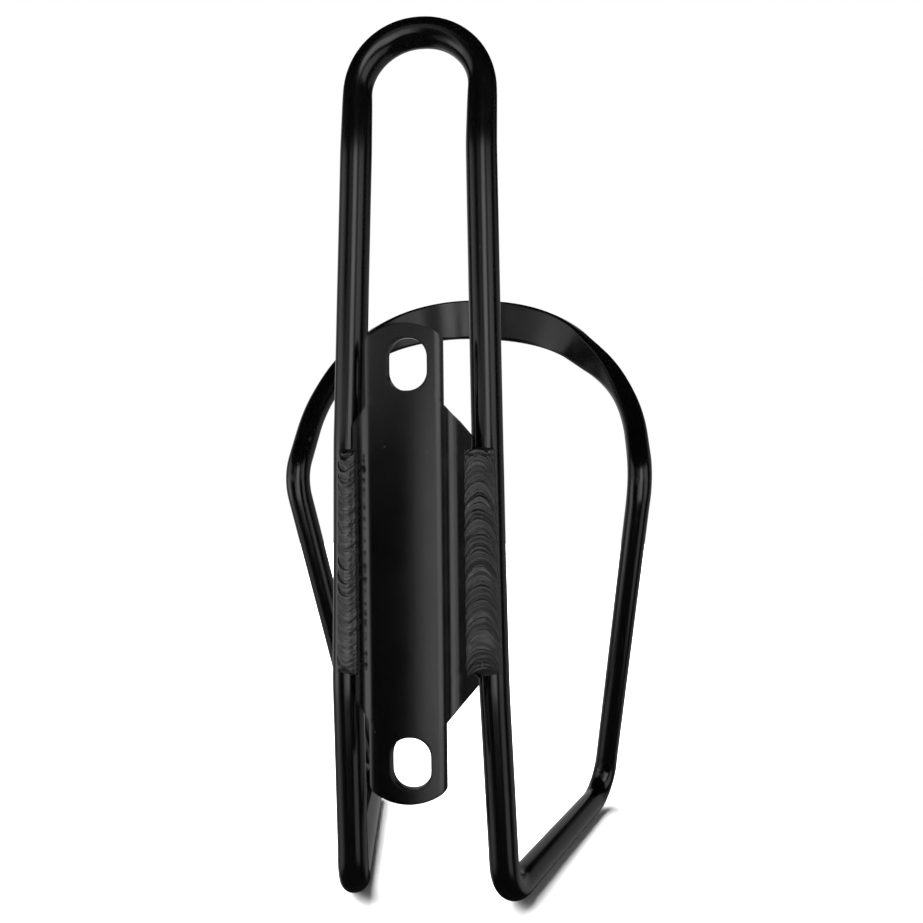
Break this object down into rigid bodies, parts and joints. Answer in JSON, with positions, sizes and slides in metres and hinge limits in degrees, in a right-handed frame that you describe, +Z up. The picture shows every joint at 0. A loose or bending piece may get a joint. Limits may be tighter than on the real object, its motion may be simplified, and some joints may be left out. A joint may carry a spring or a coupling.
{
  "type": "water bottle cage",
  "caption": "Welded wire cage that holds a drinks bottle on a bicycle: a bent rod cradle with a flat-pressed hoop and a top loop, on a slotted channel plate.",
  "frame": {"origin": "centre of the two bolt slots, on the plate's mounting face that lies against the bicycle's tube", "axes": "+Z up along the bottle, +Y from the bicycle's tube towards the bottle, +X to the right seen from the bicycle's tube"},
  "size_m": [0.0813, 0.0836, 0.1598],
  "materials": {
    "rod_paint": "gloss black paint on aluminium rod",
    "plate_paint": "satin-gloss black paint on pressed aluminium sheet",
    "weld_paint": "satin black paint over rippled weld"
  },
  "bodies": {
    "root": {"top_loop": "rod_paint", "cradle_hoop": "rod_paint", "back_plate": "plate_paint", "weld_bead_right": "weld_paint", "weld_bead_left": "weld_paint"}
  },
  "joints": []
}
